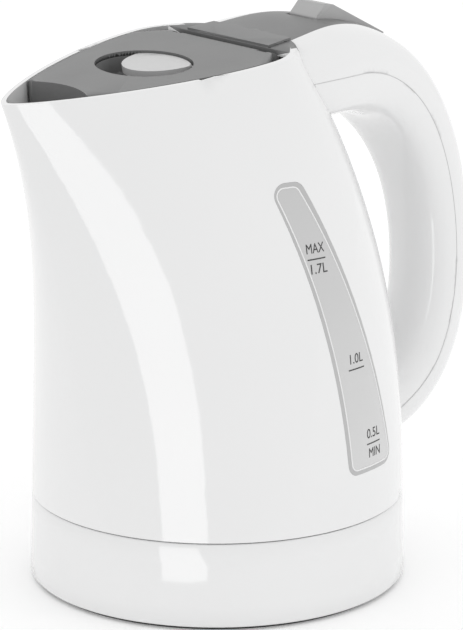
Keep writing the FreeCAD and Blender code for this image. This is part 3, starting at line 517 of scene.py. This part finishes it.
trimPlastic = mouldedPlastic("gaugeTrimLine", trimLineLook)
lineMesh = grown("gaugeLine", weldedCopy("gauge_window"), edgeLineTree(),
                 {"Radius": gaugeLine["radius"], "Sides": gaugeLine["sides"],
                  "Edge Angle": gaugeLine["edgeAngle"], "Reach": gaugeLine["reach"],
                  "Stand Off": gaugeLine["standOff"], "Ray Length": gaugeLine["rayLength"],
                  "Material": trimPlastic})
lineMesh.shade_smooth()
dressed(linked("gaugeLine", lineMesh), "kettle", trimPlastic)
print("gauge line:", len(lineMesh.polygons), "faces")


# fine parting line along the two halves of the handle

handleSeam = {"radius": 0.00016, "sides": 6, "sharpAngle": math.radians(40.0), "clear": 0.0002,
              "look": 0.03, "near": 0.0009}
seamLook = {
    "color": grey(0.60), "deepColor": grey(0.54), "driftScale": 60.0,
    "grainScale": 2600.0, "grainStrength": 0.05, "grainDepth": 0.00001, "grainRough": 0.04,
    "rubScale": 200.0, "rubDepth": 0.06, "roughness": 0.3, "ior": 1.5, "coat": 0.0, "coatRough": 0.3,
}


def tubeTree():
    sizes = [("Radius", "NodeSocketFloat"), ("Sides", "NodeSocketInt"), ("Material", "NodeSocketMaterial")]
    tree, given, taken = newTree("seamTube", sizes)
    line = treeNode(tree, "GeometryNodeMeshToCurve", {}, {"Mesh": given.outputs["Geometry"]})
    return closeTree(tree, given, taken, tubeAlong(tree, given, line))


def outerSeam(innerMesh, outerMesh):
    # the sharp edges of the inner half that lie on the outer half and have nothing outside them
    outerTree = meshTree(outerMesh)
    bothTrees = (meshTree(innerMesh), outerTree)
    work = bmesh.new()
    work.from_mesh(innerMesh)
    kept = []
    for edge in work.edges:
        if len(edge.link_faces) != 2 or edge.calc_face_angle() < handleSeam["sharpAngle"]:
            continue
        middle = (edge.verts[0].co + edge.verts[1].co) / 2
        if outerTree.find_nearest(middle)[3] > handleSeam["near"]:
            continue
        outward = Vector((0, math.copysign(1.0, middle.y), 0))
        start = middle + outward * handleSeam["clear"]
        if any(half.ray_cast(start, outward, handleSeam["look"])[0] is not None for half in bothTrees):
            continue
        kept.append((edge.verts[0].index, edge.verts[1].index))
    points = [v.co.copy() for v in work.verts]
    work.free()
    used = sorted({index for pair in kept for index in pair})
    place = {index: spot for spot, index in enumerate(used)}
    mesh = bpy.data.meshes.new("seamEdges")
    mesh.from_pydata([points[index] for index in used], [(place[a], place[b]) for a, b in kept], [])
    return mesh


seamPlastic = mouldedPlastic("handleSeamLine", seamLook)
seamEdges = outerSeam(smoothPieces["handle_inner"].data, smoothPieces["handle_outer"].data)
seamMesh = grown("handleSeam", seamEdges, tubeTree(),
                 {"Radius": handleSeam["radius"], "Sides": handleSeam["sides"], "Material": seamPlastic})
seamMesh.shade_smooth()
dressed(linked("handleSeam", seamMesh), "kettle", seamPlastic)
print("handle seam:", len(seamMesh.polygons), "faces")


# scale marks printed on the gauge pane

gaugeMarks = {
    "letterSize": 0.0052, "letterSteps": 6, "thickness": 0.00006, "proud": 0.00004, "standOff": 0.2,
    "lineHalf": 0.00022, "lineSteps": 24,
    # each word: text, middle, level, side of its line, narrowing
    "marks": [("MAX", -0.0027, 0.1402, "above", 0.78), ("1.7L", -0.0022, 0.1378, "below", 1.0),
              ("1.0L", 0.0131, 0.0962, "above", 0.95),
              ("0.5L", 0.0217, 0.0658, "above", 0.95), ("MIN", 0.0223, 0.0634, "below", 0.84)],
    # each line: left end, right end, level
    "lines": [(-0.0067, 0.0018, 0.1390), (0.0088, 0.0178, 0.0950), (0.0175, 0.0260, 0.0646)],
}
paneTree = meshTree(smoothPieces["gauge_window"].data)


def paneDepth(x, z):
    hit = paneTree.ray_cast(Vector((x, -gaugeMarks["standOff"], z)), Vector((0, 1, 0)))[0]
    if hit is None:
        raise RuntimeError("a gauge mark runs off the pane")
    return hit.y


def laidOnPane(mesh):
    # mesh drawn in x and z, its y being its height off the pane
    for vertex in mesh.vertices:
        vertex.co.y += paneDepth(vertex.co.x, vertex.co.z) - gaugeMarks["proud"]
    mesh.update()
    return mesh


def printedWord(text, middle, level, side, narrow):
    curve = bpy.data.curves.new("word", "FONT")
    curve.body = text
    curve.size = gaugeMarks["letterSize"]
    curve.align_x = "CENTER"
    curve.align_y = "BOTTOM" if side == "above" else "TOP"
    curve.extrude = gaugeMarks["thickness"] / 2
    curve.resolution_u = gaugeMarks["letterSteps"]
    word = linked("word", curve)
    mesh = evaluated(word)
    bpy.data.objects.remove(word)
    for vertex in mesh.vertices:
        vertex.co = Vector((middle + vertex.co.x * narrow, -vertex.co.z, level + vertex.co.y))
    return mesh


def printedLine(left, right, level):
    work = bmesh.new()
    steps = gaugeMarks["lineSteps"]
    half = gaugeMarks["lineHalf"]
    rows = []
    for step in range(steps + 1):
        x = left + (right - left) * step / steps
        corners = [(x, -gaugeMarks["thickness"], level - half), (x, -gaugeMarks["thickness"], level + half),
                   (x, 0.0, level + half), (x, 0.0, level - half)]
        rows.append([work.verts.new(corner) for corner in corners])
    for near, far in zip(rows, rows[1:]):
        for side in range(4):
            work.faces.new([near[side], far[side], far[(side + 1) % 4], near[(side + 1) % 4]])
    work.faces.new(rows[0])
    work.faces.new(list(reversed(rows[-1])))
    bmesh.ops.recalc_face_normals(work, faces=work.faces)
    mesh = bpy.data.meshes.new("markLine")
    work.to_mesh(mesh)
    work.free()
    return mesh


printInk = mouldedPlastic("gaugePrint", printLook)
printed = [printedWord(*mark) for mark in gaugeMarks["marks"]]
printed += [printedLine(*line) for line in gaugeMarks["lines"]]
inkMesh = joined("gaugeMarks", [laidOnPane(mesh) for mesh in printed])
dressed(linked("gaugeMarks", inkMesh), "kettle", printInk)
print("gauge marks:", len(inkMesh.polygons), "faces")


# fine woven wires behind the coarse filter net

weave = {"pitch": 0.0008, "wire": 0.00011, "sides": 6, "margin": 0.0002, "setBack": 0.00012}


def wireRowTree():
    sizes = [("Count", "NodeSocketInt"), ("Pitch", "NodeSocketFloat"), ("Length", "NodeSocketFloat"),
             ("Wire", "NodeSocketFloat"), ("Start", "NodeSocketVector"), ("Step", "NodeSocketVector"),
             ("Turn", "NodeSocketRotation"), ("Sides", "NodeSocketInt"), ("Material", "NodeSocketMaterial")]
    tree, given, taken = newTree("filterWireRow", sizes)
    stride = treeNode(tree, "ShaderNodeVectorMath", {"operation": "SCALE"},
                      {0: given.outputs["Step"], "Scale": given.outputs["Pitch"]})
    spots = treeNode(tree, "GeometryNodeMeshLine", {}, {"Count": given.outputs["Count"],
                                                        "Start Location": given.outputs["Start"],
                                                        "Offset": stride.outputs[0]})
    wire = treeNode(tree, "GeometryNodeMeshCylinder", {}, {"Vertices": given.outputs["Sides"],
                                                           "Radius": given.outputs["Wire"],
                                                           "Depth": given.outputs["Length"]})
    row = treeNode(tree, "GeometryNodeInstanceOnPoints", {}, {"Points": spots.outputs[0],
                                                              "Instance": wire.outputs[0],
                                                              "Rotation": given.outputs["Turn"]})
    return closeTree(tree, given, taken, row)


netLow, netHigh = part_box("filter_mesh")
netMiddle = (netLow + netHigh) / 2
netWide = netHigh.y - netLow.y - 2 * weave["margin"]
netTall = netHigh.z - netLow.z - 2 * weave["margin"]
rowTree = wireRowTree()
weaveBack = netHigh.x + weave["wire"] + weave["setBack"]
uprights = int(netWide / weave["pitch"])
crossings = int(netTall / weave["pitch"])
wireRows = [
    {"Count": uprights, "Length": netTall, "Step": (0.0, 1.0, 0.0), "Turn": (0.0, 0.0, 0.0),
     "Start": (weaveBack, netMiddle.y - (uprights - 1) * weave["pitch"] / 2, netMiddle.z)},
    {"Count": crossings, "Length": netWide, "Step": (0.0, 0.0, 1.0), "Turn": (math.radians(90.0), 0.0, 0.0),
     "Start": (weaveBack + 2 * weave["wire"], netMiddle.y,
               netMiddle.z - (crossings - 1) * weave["pitch"] / 2)},
]
for values in wireRows:
    values.update({"Pitch": weave["pitch"], "Wire": weave["wire"], "Sides": weave["sides"],
                   "Material": finishes["steel"]})
weaveMesh = joined("filterWeave", [grown("wireRow", bpy.data.meshes.new("wireSeed"), rowTree, values)
                                   for values in wireRows])
dressed(linked("filterWeave", weaveMesh), "kettle", finishes["steel"])
print("filter weave:", len(weaveMesh.polygons), "faces")


# pale floor

floorLook = {"color": grey(0.90), "deepColor": grey(0.88), "driftScale": 2.0, "driftRough": 0.05,
             "roughness": 0.6, "glow": 0.16}


def paleFloor(name, look):
    material, coords = newFinish(name)
    drift = cloudOn(coords, look["driftScale"], "drift")
    surfaceOf(coords, {"Base Color": drift.mixed(look["color"], look["deepColor"]),
                       "Roughness": drift * look["driftRough"] + look["roughness"],
                       "Emission Color": grey(1.0), "Emission Strength": look["glow"]})
    return material


half = studio["floorSize"] / 2
ahead = Vector((studio["keyPlace"][0], studio["keyPlace"][1], 0)).normalized()
aside = Vector((-ahead.y, ahead.x, 0))
corners = [ahead * reach + aside * across for reach, across in
           ((studio["floorEdge"], -half), (studio["floorEdge"], half), (-half, half), (-half, -half))]
floorMesh = bpy.data.meshes.new("floor")
floorMesh.from_pydata(corners, [], [(0, 1, 2, 3)])
floorMesh.materials.append(paleFloor("paleFloor", floorLook))
floor = linked("floor", floorMesh)
print("floor laid")
